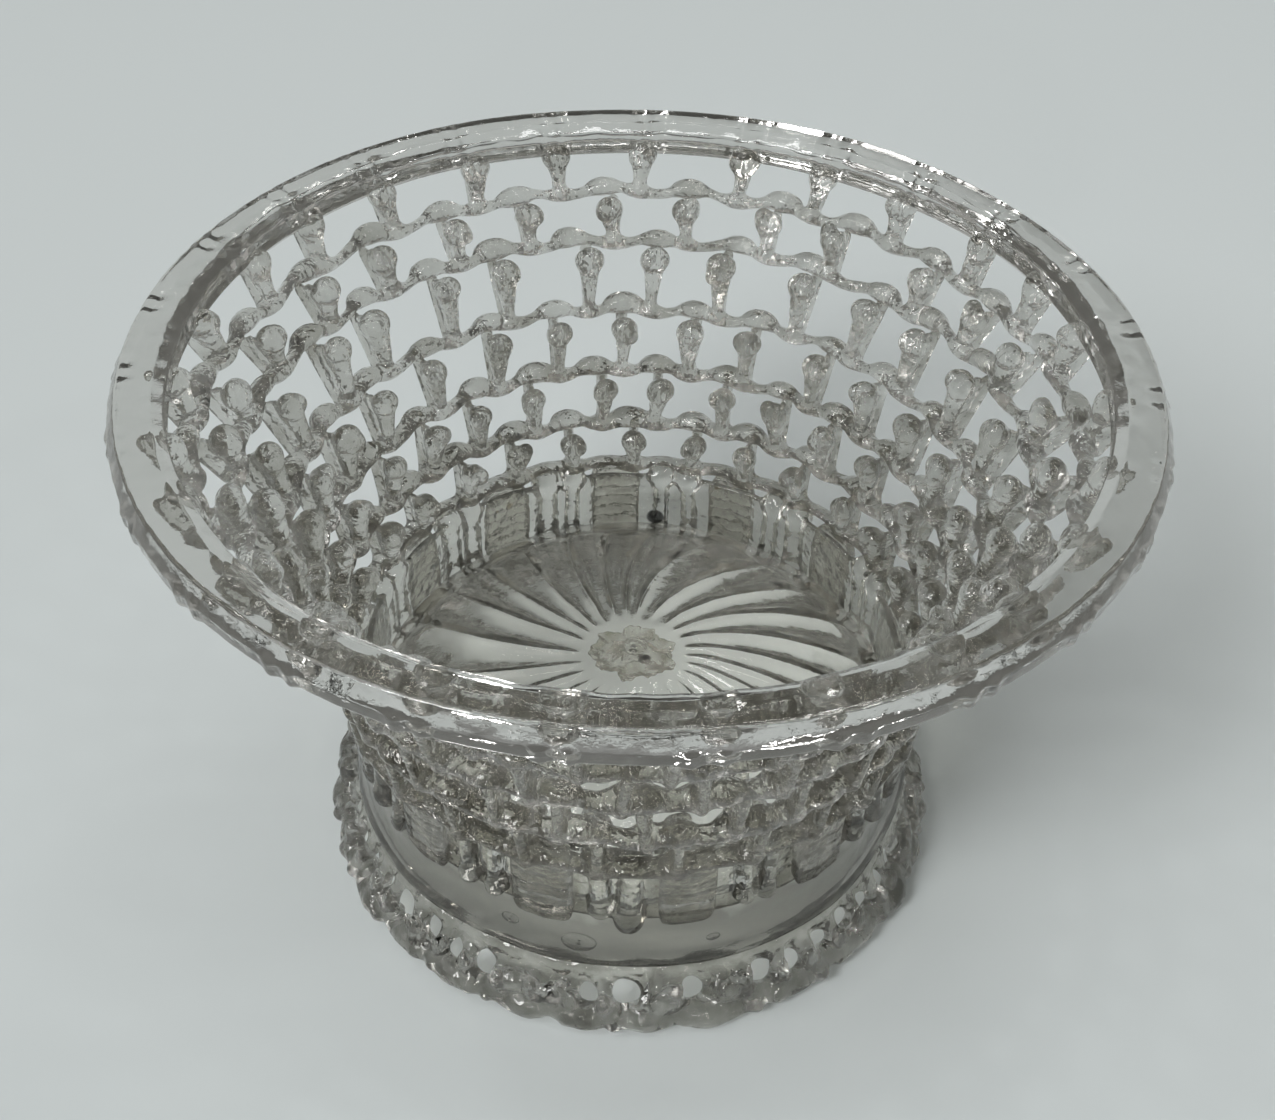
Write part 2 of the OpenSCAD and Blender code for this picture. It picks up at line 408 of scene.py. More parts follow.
def make_course(i):
    """Trail i with its humps, and the 27 struts and beads that stand on it, as one thread of glass."""
    low = TRAILS[i - 1]
    high = TRAILS[i - 2] if i > 1 else RIM + np.array([-UNDER_RIM[0], -RIM_HALF[1] + UNDER_RIM[1]])
    up = high - low
    top = np.hypot(*up)
    bead_at, bead_half = BEADS[i - 1]
    field = RingField(low, up, (-6.8, 9.5), (-4.2, top + 3.6), CELL)
    bead_n = float((bead_at - low) @ field.inward)
    bead_s = float((bead_at - low) @ field.up) + BEAD_LIFT
    deep = 2.6 if i < 5 else 2.2
    joint = -1.6 if i > 1 else 0.2
    struts, humps = course_angles(i), course_angles(i + 1)

    def thread(angle, n, s):
        lift = np.cos(STRUTS * (angle - humps[0])) * (0.8 if i < 6 else 0.3)
        s0 = waves(angle, (3, 5, 8, 13, 31), 0.22, 40 + i) + lift
        n0 = waves(angle, (2, 6, 9, 14, 28), 0.2, 60 + i)
        fat = 1 + waves(angle, (7, 11, 17, 29, 41), 0.09, 80 + i)
        a, b = 2.3 * fat, 1.2 * fat
        k0 = np.sqrt(((n - n0) / a) ** 2 + ((s - s0) / b) ** 2) + TINY
        k1 = np.sqrt(((n - n0) / a ** 2) ** 2 + ((s - s0) / b ** 2) ** 2) + TINY
        return k0 * (k0 - 1) / k1

    field.add_ring(thread, 0.5)
    jitter = np.radians(STRUT_JITTER)
    for angle in struts:
        off = jitter * rng.normal()
        shape = strut_shape(top, bead_n, bead_s, bead_half[1], deep, joint)
        field.add(angle + off, STRUT_REACH, shape, 1.4)
    if i < 6:
        for angle in humps:
            off = jitter * rng.normal()
            shape = hump_shape(0.3 * rng.normal(), 1 + 0.07 * rng.normal())
            field.add(angle + off, STRUT_REACH, shape, 1.3)
    piece = field.mesh(f"course_{i}")
    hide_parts(f"trail_{i}", f"struts_{i}", f"beads_{i}")
    return piece


# ----------------------------------------------------------------- base ----

def catmull(points, steps):
    """Smooth curve through points, with a number of steps between neighbours."""
    p = np.array(points, float)
    p = np.vstack([2 * p[0] - p[1], p, 2 * p[-1] - p[-2]])
    out = []
    for k in range(1, len(p) - 2):
        u = np.linspace(0, 1, steps, endpoint=False)[:, None]
        a, b, c, d = p[k - 1], p[k], p[k + 1], p[k + 2]
        bend, kink = 2 * a - 5 * b + 4 * c - d, 3 * b - a - 3 * c + d
        out.append(0.5 * (2 * b + (c - a) * u + bend * u ** 2 + kink * u ** 3))
    out.append(p[-2][None])
    return np.concatenate(out)


# Radius and height of the floor's edge, how far its middle is kicked up, and its thickness
FLOOR_R = 55.0
FLOOR_Z = 34.5
KICK = 12.0
GLASS_T = 3.6
PONTIL_GAP = 0.04  # keeps the scar's upper face off the floor's underside
RIB_UP = 0.36  # ribs on the floor's upper side
RIB_DOWN = -1.1  # and the deeper ones beneath it
# Azimuth in degrees, height, half width and half height of the bubbles in the shoulder's wall
BUBBLES = [(261, 20.6, 3.7, 2.4), (247, 22.3, 2.0, 1.4), (287, 21.2, 1.5, 1.0),
           (20, 21.0, 2.4, 1.6), (135, 20.2, 1.7, 1.2)]
BUBBLE_DEPTH = 0.28


def dome(r):
    """Height of the kicked-up floor at radius r."""
    return FLOOR_Z + KICK * (1 - (r / FLOOR_R) ** 2)


def make_base():
    """Blown base: ribbed kicked-up floor, rounded shoulder and lip, hollow beneath."""
    turns = RIBS * 20
    floor = [(r, dome(r)) for r in np.linspace(0.4, 52, 24)]
    shoulder = [(56.4, 33.6), (59.4, 31.4), (61.0, 28.4), (61.4, 25.0), (62.0, 21.6),
                (63.0, 19.2), (63.5, 17.4), (63.0, 15.8), (61.8, 15.1), (60.5, 15.8),
                (60.0, 17.8), (59.2, 20.8), (58.4, 24.4), (57.2, 27.6), (55.2, 29.9)]
    under = [(r, dome(r) - GLASS_T) for r in np.linspace(51.5, 0.4, 24)]
    line = catmull(floor + shoulder + under, 3)
    r = line[None, :, 0]
    z = line[None, :, 1]
    angle = (np.arange(turns) * TAU / turns)[:, None]
    # The ribs swirl clockwise on their way out and fade at the pontil and at the shoulder
    swirl = (angle + 0.42 * (r / FLOOR_R) ** 0.8
             + 0.05 * np.sin(3 * angle) + 0.02 * np.sin(7 * angle + 1))
    ridge = np.abs(np.cos(RIBS / 2 * swirl)) ** 0.6 - 0.6
    fade = np.clip((r - 11) / 5, 0, 1) * np.clip((55 - r) / 7, 0, 1)
    side = np.where(np.arange(len(line)) < len(line) / 2, RIB_UP, RIB_DOWN)[None, :]
    depth = 0.7 + 0.5 * r / FLOOR_R + waves(angle, (3, 5, 9, 13), 0.12, 10)
    z = z + side * ridge * fade * depth
    on_side = np.clip((r - 56) / 4, 0, 1)
    r = r + on_side * waves(angle, (2, 3, 5, 7, 12), 0.3, 8)
    z = z + on_side * waves(angle, (2, 3, 4, 9), 0.25, 9)
    piece = new_mesh("base", *skin(about_axis(r, angle, z)))
    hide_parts("base_body")
    return piece


def make_bubbles():
    """All the air bubbles as one piece, each in the middle of the shoulder's slanting wall."""
    parts = [bubble(azimuth, 61.5 - 0.2 * (height - 17), height, (across, up, BUBBLE_DEPTH))
             for azimuth, height, across, up in BUBBLES]
    starts = np.cumsum([0] + [len(co) for co, _, _ in parts])
    co = np.concatenate([co for co, _, _ in parts])
    quads = np.concatenate([quads + start for (_, quads, _), start in zip(parts, starts)])
    fans = np.concatenate([fans + start for (_, _, fans), start in zip(parts, starts)])
    return new_mesh("bubbles", co, quads, fans)


def skin(points, outwards=True):
    """Points and faces of a closed skin over points[turn, row], whose end rows shrink to a pole."""
    turns, rows = points.shape[:2]
    co = points.reshape(-1, 3)
    here = np.arange(turns) * rows
    beside = np.roll(here, -1)
    poles = np.stack([points[:, 0].mean(axis=0), points[:, -1].mean(axis=0)])
    first = np.stack([np.full(turns, len(co)), beside, here], axis=1)
    last = np.stack([np.full(turns, len(co) + 1), here + rows - 1, beside + rows - 1], axis=1)
    quads, fans = grid_faces(turns, rows, True, False)[:, ::-1], np.concatenate([first, last])
    if not outwards:
        quads, fans = quads[:, ::-1], fans[:, ::-1]
    return np.concatenate([co, poles]), quads, fans


def bubble(azimuth, radius, height, size):
    """Skin of a flattened air bubble in the wall, facing the air inside it."""
    turns, rows = 28, 12
    a = (np.arange(turns) * TAU / turns)[:, None]
    e = np.linspace(0.08, math.pi - 0.08, rows)[None]
    across = size[0] * np.sin(e) * np.cos(a)
    up = size[1] * np.sin(e) * np.sin(a)
    deep = size[2] * np.cos(e) + 0 * a
    angle = math.radians(azimuth) + across / radius
    r = radius + deep - 0.2 * up
    return skin(about_axis(r, angle, height + up), outwards=False)


def make_pontil():
    """Jagged scar where the pontil rod was broken off."""
    turns, rings = 120, 40
    radius = (PONTIL + PONTIL_HALF)[0]
    bottom = (PONTIL - PONTIL_HALF)[1]
    angle = (np.arange(turns) * TAU / turns)[:, None]
    edge = 0.80 + waves(angle, (1, 2, 3, 4, 6), 0.13, 11) + waves(angle, (9, 17, 29), 0.07, 15)
    u = np.linspace(0.02, 1, rings)[None, :]
    r = radius * u * (1 + (edge - 1) * u)
    x, y = r * np.cos(angle), r * np.sin(angle)
    pick = np.random.default_rng(12)
    flakes = np.zeros_like(x)
    for _ in range(26):
        way, at = pick.uniform(0, TAU), pick.uniform(0, radius)
        reach = pick.uniform(1.2, 3.6)
        cx, cy = at * math.cos(way), at * math.sin(way)
        slope = pick.normal(size=2) * 0.35
        near = np.hypot(x - cx, y - cy) < reach
        flake = (x - cx) * slope[0] + (y - cy) * slope[1] + pick.uniform(-0.4, 0.4)
        flakes = np.where(near, flake, flakes)
    ring = np.exp(-((u - 0.62) / 0.2) ** 2)
    z_top = dome(r) - GLASS_T - PONTIL_GAP
    thick = 0.2 + (1 - u ** 5) * (0.8 + 0.8 * ring - 0.8 * np.clip(flakes, -1.2, 1.2))
    z_low = np.maximum(z_top - np.clip(thick, 0.15, None), bottom)
    upper = np.stack([x, y, z_top], axis=2)
    lower = np.stack([x, y, z_low], axis=2)[:, ::-1]
    piece = new_mesh("pontil", *skin(np.concatenate([upper, lower], axis=1)))
    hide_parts("pontil_mark")
    return piece


# --------------------------------------------------------------- prunts ----

WAFFLE_ACROSS, WAFFLE_UP = 6, 7
WAFFLE_RELIEF = 0.95
PRUNT_HALF_WIDTH = 6.2
PRUNT_CORNER = 5.5  # how square the pads are
PRUNT_FRONT = 1.35  # how far the front, without its relief, and the back lie inside the CAD pads' face
PRUNT_BACK = 3.35


def make_prunts():
    """Pads stamped with a waffle grid, each bent to the wall and slightly different."""
    cols, rows = 44, 66
    parts, faces, first = [], [], 0
    z0, z1 = (PRUNTS - PRUNT_HALF)[1] - 0.4, (PRUNTS + PRUNT_HALF)[1] + 0.6
    outer = (PRUNTS + PRUNT_HALF)[0]
    u, v = np.meshgrid(np.linspace(-1, 1, cols), np.linspace(-1, 1, rows), indexing="ij")
    square = np.maximum(np.abs(u), np.abs(v))
    corner = (np.abs(u) ** PRUNT_CORNER + np.abs(v) ** PRUNT_CORNER) ** (1 / PRUNT_CORNER)
    keep = square / np.maximum(corner, TINY)
    edge = np.clip((1 - square) * 7, 0, 1)
    bulge = 1.0 * (1 - square ** 4)
    back = np.full_like(bulge, outer - PRUNT_BACK)
    for k in range(PRUNT_COUNT):
        wide, tall = 1 + 0.04 * rng.normal(size=2)
        skew = 0.05 * rng.normal()
        shift = rng.uniform(0, 1, 2)
        t = u * keep * PRUNT_HALF_WIDTH * wide + skew * v * 5
        z = (z0 + z1) / 2 + v * keep * (z1 - z0) / 2 * tall
        grid_u = np.abs(np.sin(math.pi * (WAFFLE_ACROSS * (u + 1) / 2 + 0.2 * shift[0])))
        grid_v = np.abs(np.sin(math.pi * (WAFFLE_UP * (v + 1) / 2 + 0.3 * shift[1])))
        raised = np.clip(2.6 * grid_v, 0, 1) * (0.65 + 0.35 * np.clip(2.6 * grid_u, 0, 1))
        worn = np.sin(5 * u + 9 * shift[0]) * np.cos(4 * v + 7 * shift[1])
        raised = raised * (0.75 + 0.25 * worn)
        front = outer - PRUNT_FRONT + bulge * 0.8 + WAFFLE_RELIEF * raised * edge
        for side, radius in ((1, front), (-1, back)):
            angle = math.radians(prunt_angle(k)) + t / outer
            parts.append(about_axis(radius, angle, z).reshape(-1, 3))
            quad = grid_faces(cols, rows, False, False)
            faces.append(first + (quad if side > 0 else quad[:, ::-1]))
            first += cols * rows
        border = border_loop(cols, rows)
        a = first - 2 * cols * rows + border
        b = first - cols * rows + border
        faces.append(np.stack([a, np.roll(a, -1), np.roll(b, -1), b], axis=1)[:, ::-1])
    piece = new_mesh("prunts", np.concatenate(parts), np.concatenate(faces))
    face_out(piece)
    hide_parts("waffle_prunts")
    return piece


def border_loop(cols, rows):
    """Indices round the edge of a grid stored column by column."""
    index = np.arange(cols * rows).reshape(cols, rows)
    return np.concatenate([index[:-1, 0], index[-1, :-1], index[:0:-1, -1], index[0, :0:-1]])


def face_out(piece):
    """Turns every closed shell's faces outwards."""
    bm = bmesh.new()
    bm.from_mesh(piece.data)
    bmesh.ops.recalc_face_normals(bm, faces=bm.faces)
    for face in bm.faces:
        face.smooth = True
    bm.to_mesh(piece.data)
    bm.free()


WALL_AT = 1.9  # how far in from the drops' middle the wall behind them stands
WALL_HALF = 0.3  # half its thickness before rounding
WALL_ROUND = 0.5
DROP_APART = 3.3  # half the distance between the two drops of a gap


def make_drops():
    """Thin wall behind the prunts, with two clear drops in each gap, flared at the top."""
    low = (DROPS - DROP_HALF)[1]
    high = (DROPS + DROP_HALF)[1]
    field = RingField((DROPS[0], low), (0, 1), (-4.5, 4.5), (-1.5, high - low + 1.8), CELL)
    middle_s, half_s = (high - low) / 2 + 0.6, (high - low) / 2 - 0.4

    def wall(angle, n, s):
        n0 = WALL_AT + waves(angle, (5, 9, 16, 26), 0.12, 30)
        q_n = np.abs(n - n0) - WALL_HALF
        q_s = np.abs(s - middle_s - waves(angle, (4, 13, 29), 0.3, 31)) - half_s + WALL_ROUND
        out = np.hypot(np.clip(q_n, 0, None), np.clip(q_s, 0, None))
        return out + np.minimum(np.maximum(q_n, q_s), 0) - WALL_ROUND

    field.add_ring(wall, 0.5)
    for k in range(PRUNT_COUNT):
        middle = math.radians((prunt_angle(k) + prunt_angle(k + 1)) / 2)
        for side in (-1, 1):
            tip = 2.0 + 3.0 * rng.random() + (1.2 if side < 0 else 0)
            lean = 0.9 * rng.normal()
            wide = 1.9 + 0.3 * rng.normal()

            def drop(p, tip=tip, lean=lean, wide=wide, top=high - low):
                rod = capsule(p, (lean, 0, tip), (0, 0, top), wide * 1.1, wide * 0.9)
                ball = ellipsoid(p, (lean, -0.3, tip), (wide * 1.3, wide * 1.15, wide * 1.5))
                flare = ellipsoid(p, (0, -0.3, top - 1.2), (3.6, 2.4, 2.6))
                return smooth_min(smooth_min(rod, ball, 1.4), flare, 2.4)

            field.add(middle + side * DROP_APART / DROPS[0], 7.5, drop, 1.2)
    piece = field.mesh("drops")
    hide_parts("clear_drops")
    return piece


# ----------------------------------------------------------------- foot ----

FOOT_CELL = 0.52
GROUND_GAP = 0.05  # how far the flat underside stays above the table
SCALLOPS = 28
KNOT_SHARE = 0.30


def make_foot():
    """Foot: a collar, a folded skirt with crimps and holes, and a scalloped rope on the table.

    Where two crimps are knotted together there is no hole between them.
    """
    field = RingField((ROPE[0], 0), (0, 1), (-6.0, 11.0), (-1.2, 18.4), FOOT_CELL)
    collar_n = ROPE[0] - COLLAR[0]
    collar_z = COLLAR[1]

    def rope(angle, n, s):
        bend = 0.5 * np.sin(3 * angle) + 0.35 * np.sin(5 * angle + 2)
        scallop = np.abs(np.sin(SCALLOPS / 2 * angle + bend)) ** 0.8
        out = 2.0 * (scallop - 0.75) + waves(angle, (4, 7, 12, 19), 0.25, 21)
        fat = 1 + waves(angle, (9, 15, 23, 37), 0.10, 22)
        lift = waves(angle, (6, 10, 16, 33), 0.3, 23)
        away = np.hypot(n + out - 0.7, s - ROPE[1] - 0.1 - lift)
        return away - (ROPE_HALF[0] - 0.75) * fat

    def collar(angle, n, s):
        n0 = collar_n + waves(angle, (5, 9, 17), 0.25, 24)
        s0 = collar_z + 0.3 + waves(angle, (4, 8, 21), 0.3, 25)
        fat = 0.95 + waves(angle, (6, 13, 27), 0.06, 26)
        return np.hypot(n - n0, s - s0) - COLLAR_HALF[1] * fat

    foot_at = np.array([0.6, ROPE[1] + 0.8])
    rise = np.array([collar_n, collar_z]) - foot_at
    span = np.hypot(*rise)
    rise = rise / span

    def skirt(angle, n, s):
        along = np.clip((n - foot_at[0]) * rise[0] + (s - foot_at[1]) * rise[1], 0, span)
        fold = 1.2 * np.sin(CRIMPS * angle + 0.35 * along + waves(angle, (3, 5, 8), 0.8, 29))
        bulge = (fold + waves(angle, (8, 13, 27), 0.4, 27)) * np.sin(math.pi * along / span)
        away = np.hypot(n - foot_at[0] - along * rise[0] + bulge, s - foot_at[1] - along * rise[1])
        return away - 1.0 - waves(angle, (11, 19, 33), 0.15, 28)

    field.add_ring(rope, 0.5)
    field.add_ring(collar, 1.0)
    field.add_ring(skirt, 1.5)
    for k in range(CRIMPS):
        angle = TAU * (k + 0.16 * rng.normal()) / CRIMPS
        lean = (1.0 if k % 2 else -1.0) * (0.3 + 1.3 * rng.random())
        fat = 1.3 + 0.25 * rng.normal()
        crest = 0.6 + 0.9 * rng.random()
        knot = rng.random() < KNOT_SHARE

        def crimp(p, lean=lean, fat=fat, crest=crest, knot=knot):
            arm = capsule(p, (lean, collar_n - 0.8, collar_z - 0.4), (-lean, -0.6, 3.4),
                          fat, fat * 1.3)
            knee = ellipsoid(p, (0.6 * lean, collar_n / 2 - crest - 1.4, 8.4), (1.5, 1.5, 2.8))
            d = smooth_min(arm, knee, 1.0)
            if knot:
                loop = ellipsoid(p, (3.9, collar_n / 2 - 1.5, 7.4 + lean), (3.0, 1.9, 3.0))
                twist = capsule(p, (0.2, 0.6, 4.0), (6.6, collar_n / 2 - 1.0, 10.4), 1.6, 1.2)
                d = smooth_min(smooth_min(d, loop, 1.0), twist, 0.6)
            return d

        field.add(angle, 9, crimp, 1.0)
        if not knot:
            size = 2.3 + 0.3 * rng.normal()
            middle = span * (0.50 + 0.06 * rng.normal())

            def hole(p, size=size, middle=middle):
                along = (p[1] - foot_at[0]) * rise[0] + (p[2] - foot_at[1]) * rise[1]
                return np.hypot(p[0], along - middle) - size

            field.cut(angle + math.pi / CRIMPS, 5, hole, 1.0)
    field.f = np.maximum(field.f, GROUND_GAP - field.grid_s).astype(np.float32)
    piece = field.mesh("foot")
    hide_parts("foot_collar", "foot_crimps", "foot_rope")
    return piece


# ------------------------------------------------------------ materials ----

IOR = 1.5
SHADOW_TINT = (1.0, 0.995, 0.97)
CLOUD_RANGE = (0.40, 0.68)  # noise values at which a glass shows its tint and its shade
FILM_RANGE = (0.45, 0.8)  # noise values at which it is smoothest and roughest
GRIME_RANGE = (0.735, 0.76)
GRIME = (0.20, 0.13, 0.06)
SOOT = (0.01, 0.01, 0.01)
SOOT_FADE = 1.25
DRAWN_OUT = (1.0, 1.0, 0.12)  # stretches the streaks upwards


def node(tree, kind, **inputs):
    """A new shader node with inputs set by name, an underscore standing for a space."""
    made = tree.nodes.new(kind)
    for key, value in inputs.items():
        made.inputs[key.replace("_", " ")].default_value = value
    return made


def noise(tree, place, scale, detail, roughness):
    made = node(tree, "ShaderNodeTexNoise", Scale=scale, Detail=detail, Roughness=roughness)
    tree.links.new(place, made.inputs["Vector"])
    return made.outputs["Fac"]


def bump(tree, height, distance, below=None):
    made = node(tree, "ShaderNodeBump", Strength=1.0, Distance=distance)
    tree.links.new(height, made.inputs["Height"])
    if below:
        tree.links.new(below, made.inputs["Normal"])
    return made.outputs["Normal"]


def map_range(tree, value, low, high, **outputs):
    made = node(tree, "ShaderNodeMapRange", From_Min=low, From_Max=high, **outputs)
    tree.links.new(value, made.inputs["Value"])
    return made


def glass(name, tint, shade, roughness, ripple, fine, streak=None, pass_on=1.0,
          darken_downwards=(0.0, 0.1), grime=False, soot=None, drift=90.0):
    """Clear glass: a grey tint that drifts, fire-polished ripples and fine drawn streaks.

    ripple, fine and streak are each the scale and depth of a bump. pass_on is the share of a lamp's
    light that each surface lets through to what is behind it. darken_downwards is how fast the colour
    darkens downwards, per metre, and the height where it is even; on the blown base this is painted
    shade. grime leaves brown specks. soot is a burnt spot: its place and size in metres. drift is the
    scale of the tint's clouds.
    """
    material = bpy.data.materials.new(name)
    material.use_nodes = True
    tree = material.node_tree
    tree.nodes.clear()
    link = tree.links.new
    place = tree.nodes.new("ShaderNodeTexCoord").outputs["Object"]
    out = tree.nodes.new("ShaderNodeOutputMaterial")
    shader = node(tree, "ShaderNodeBsdfPrincipled", IOR=IOR, Transmission_Weight=1.0)
    path = tree.nodes.new("ShaderNodeLightPath")
    through = node(tree, "ShaderNodeBsdfTransparent", Color=(*[pass_on * c for c in SHADOW_TINT], 1))
    either = tree.nodes.new("ShaderNodeMixShader")
    link(path.outputs["Is Shadow Ray"], either.inputs["Fac"])
    link(shader.outputs["BSDF"], either.inputs[1])
    link(through.outputs["BSDF"], either.inputs[2])
    link(either.outputs["Shader"], out.inputs["Surface"])

    split = tree.nodes.new("ShaderNodeSeparateXYZ")
    link(place, split.inputs["Vector"])
    # Colour darkens towards the bottom: on the blown base this is painted shade
    low = tree.nodes.new("ShaderNodeMath")
    low.operation = "MULTIPLY_ADD"
    link(split.outputs["Z"], low.inputs[0])
    low.inputs[1].default_value = -darken_downwards[0]
    low.inputs[2].default_value = darken_downwards[0] * darken_downwards[1]
    depth = tree.nodes.new("ShaderNodeMath")
    depth.operation = "ADD"
    link(noise(tree, place, drift, 3.0, 0.55), depth.inputs[0])
    link(low.outputs["Value"], depth.inputs[1])
    colour = tree.nodes.new("ShaderNodeValToRGB")
    for stop, position, rgb in zip(colour.color_ramp.elements, CLOUD_RANGE, (tint, shade)):
        stop.position = position
        stop.color = (*rgb, 1)
    link(depth.outputs["Value"], colour.inputs["Fac"])
    last = colour.outputs["Color"]
    if grime:
        last = stained(tree, last, noise(tree, place, 420.0, 2.0, 0.6), *GRIME_RANGE, GRIME)
    if soot:
        gap = tree.nodes.new("ShaderNodeVectorMath")
        gap.operation = "DISTANCE"
        link(place, gap.inputs[0])
        gap.inputs[1].default_value = soot[:3]
        last = stained(tree, last, gap.outputs["Value"], soot[3] * SOOT_FADE, soot[3], SOOT)
    link(last, shader.inputs["Base Color"])

    film = noise(tree, place, 260.0, 4.0, 0.6)
    rough = map_range(tree, film, *FILM_RANGE, To_Min=roughness[0], To_Max=roughness[1])
    link(rough.outputs["Result"], shader.inputs["Roughness"])

    normal = bump(tree, noise(tree, place, ripple[0], 2.0, 0.5), ripple[1])
    normal = bump(tree, noise(tree, place, fine[0], 3.0, 0.6), fine[1], normal)
    if streak:
        stretch = node(tree, "ShaderNodeMapping", Scale=DRAWN_OUT)
        link(place, stretch.inputs["Vector"])
        drawn = noise(tree, stretch.outputs["Vector"], streak[0], 2.0, 0.5)
        normal = bump(tree, drawn, streak[1], normal)
    link(normal, shader.inputs["Normal"])
    return material


def mix_colours(tree, first, second):
    """A mix node for colours, with sockets or plain colours for its two inputs."""
    mix = tree.nodes.new("ShaderNodeMix")
    mix.data_type = "RGBA"
    for socket, colour in zip(mix.inputs[6:8], (first, second)):
        if isinstance(colour, tuple):
            socket.default_value = (*colour, 1)
        else:
            tree.links.new(colour, socket)
    return mix


def stained(tree, colour, amount, start, full, stain):
    """Colour that turns into a stain as amount goes from start to full."""
    mix = mix_colours(tree, colour, stain)
    tree.links.new(map_range(tree, amount, start, full).outputs["Result"], mix.inputs["Factor"])
    return mix.outputs[2]


def finish_piece(piece, material):
    piece.data.materials.clear()
    piece.data.materials.append(material)
    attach(piece, "root")


# ---------------------------------------------------------------- stage ----

FLOOR_SIZE = 6.0
# The table's colour fades to a dark one far from the piece: painted shade
FLOOR_COLOUR = (0.63, 0.675, 0.675)
FLOOR_PAINTED_SHADE = (0.13, 0.135, 0.135)
FLOOR_FADE = (0.62, 1.7)  # metres from the middle
# Stops of the room's light by the upward part of the view, from the horizon to the ceiling
ROOM = [(0.0, (0.30, 0.30, 0.29)), (0.28, (0.24, 0.24, 0.23)), (0.42, (0.045, 0.045, 0.04)),
        (0.74, (0.05, 0.05, 0.045)), (0.97, (0.22, 0.22, 0.215))]
# and of the light that the far wall adds, by the backward part
FAR_WALL = [(0.3, (0.0, 0.0, 0.0)), (0.9, (0.10, 0.10, 0.095))]


def make_floor():
    """Pale table with painted shade that darkens it far from the piece."""
    mesh = bpy.data.meshes.new("floor")
    size = FLOOR_SIZE
    corners = [(-size, -size, 0), (size, -size, 0), (size, size, 0), (-size, size, 0)]
    mesh.from_pydata(corners, [], [(0, 1, 2, 3)])
    floor = add_object("floor", mesh)
    material = bpy.data.materials.new("floor_paper")
    material.use_nodes = True
    tree = material.node_tree
    shader = tree.nodes["Principled BSDF"]
    shader.inputs["Roughness"].default_value = 0.9
    shader.inputs["Specular IOR Level"].default_value = 0.1
    where = tree.nodes.new("ShaderNodeTexCoord")
    reach = tree.nodes.new("ShaderNodeVectorMath")
    reach.operation = "LENGTH"
    tree.links.new(where.outputs["Object"], reach.inputs[0])
    fade = map_range(tree, reach.outputs["Value"], *FLOOR_FADE)
    fade.interpolation_type = "SMOOTHSTEP"
    colour = tree.nodes.new("ShaderNodeValToRGB")
    for element, shade in zip(colour.color_ramp.elements, (FLOOR_COLOUR, FLOOR_PAINTED_SHADE)):
        element.color = (*shade, 1)
    tree.links.new(fade.outputs["Result"], colour.inputs["Fac"])
    tree.links.new(colour.outputs["Color"], shader.inputs["Base Color"])
    floor.data.materials.append(material)


def eased_ramp(tree, value, stops):
    ramp = tree.nodes.new("ShaderNodeValToRGB")
    ramp.color_ramp.interpolation = "EASE"
    elements = ramp.color_ramp.elements
    elements[0].position, elements[1].position = stops[0][0], stops[-1][0]
    for position, _ in stops[1:-1]:
        elements.new(position)
    for element, (_, rgb) in zip(elements, stops):
        element.color = (*rgb, 1)
    tree.links.new(value, ramp.inputs["Fac"])
    return ramp.outputs["Color"]


def make_world():
    """Room round a pale table: pale low walls, palest behind, dim above, and a softly lit ceiling."""
    world = bpy.data.worlds.new("room")
    bpy.context.scene.world = world
    world.use_nodes = True
    tree = world.node_tree
    background = tree.nodes["Background"]
    where = tree.nodes.new("ShaderNodeTexCoord")
    split = tree.nodes.new("ShaderNodeSeparateXYZ")
    tree.links.new(where.outputs["Generated"], split.inputs["Vector"])
    room = eased_ramp(tree, split.outputs["Z"], ROOM)
    far = eased_ramp(tree, split.outputs["Y"], FAR_WALL)
    both = mix_colours(tree, room, far)
    both.blend_type = "ADD"
    both.inputs["Factor"].default_value = 1.0
    tree.links.new(both.outputs[2], background.inputs["Color"])
    background.inputs["Strength"].default_value = 1.0


def direction(azimuth, elevation):
    """Unit vector towards a place in the sky, from degrees."""
    a, e = math.radians(azimuth), math.radians(elevation)
    return Vector((math.cos(e) * math.cos(a), math.cos(e) * math.sin(a), math.sin(e)))


def aim(lamp, way):
    lamp.rotation_euler = way.to_track_quat("Z", "Y").to_euler()


def make_sun(name, azimuth, elevation, strength, angle):
    data = bpy.data.lights.new(name, "SUN")
    data.energy = strength
    data.angle = math.radians(angle)
    lamp = add_object(name, data)
    aim(lamp, direction(azimuth, elevation))


def make_softbox(name, azimuth, elevation, distance, size, power):
    data = bpy.data.lights.new(name, "AREA")
    data.shape = "RECTANGLE"
    data.size, data.size_y = size
    data.energy = power
    lamp = add_object(name, data)
    way = direction(azimuth, elevation)
    lamp.location = way * distance
    aim(lamp, way)


# The camera stands close, above the front, as a phone held over the table
CAMERA_TARGET = Vector((0.0004, 0, 0.0718))
CAMERA_DISTANCE = 0.355
CAMERA_ELEVATION = math.radians(41.87)
CAMERA_ROLL = math.radians(1.5)
SENSOR_WIDTH = 36.0
LENS = 47.46


def make_camera():
    data = bpy.data.cameras.new("camera")
    data.sensor_fit = "HORIZONTAL"
    data.sensor_width = SENSOR_WIDTH
    data.lens = LENS
    data.clip_start = 0.01
    camera = add_object("camera", data)
    back = Vector((0, -math.cos(CAMERA_ELEVATION), math.sin(CAMERA_ELEVATION)))
    right = Vector((1, 0, 0))
    up = back.cross(right)
    turned = math.cos(CAMERA_ROLL) * right + math.sin(CAMERA_ROLL) * up
    upright = back.cross(turned)
    pose = Matrix((turned, upright, back)).transposed().to_4x4()
    pose.translation = CAMERA_TARGET + back * CAMERA_DISTANCE
    camera.matrix_world = pose
    bpy.context.scene.camera = camera


GLASS_BOUNCES = 28


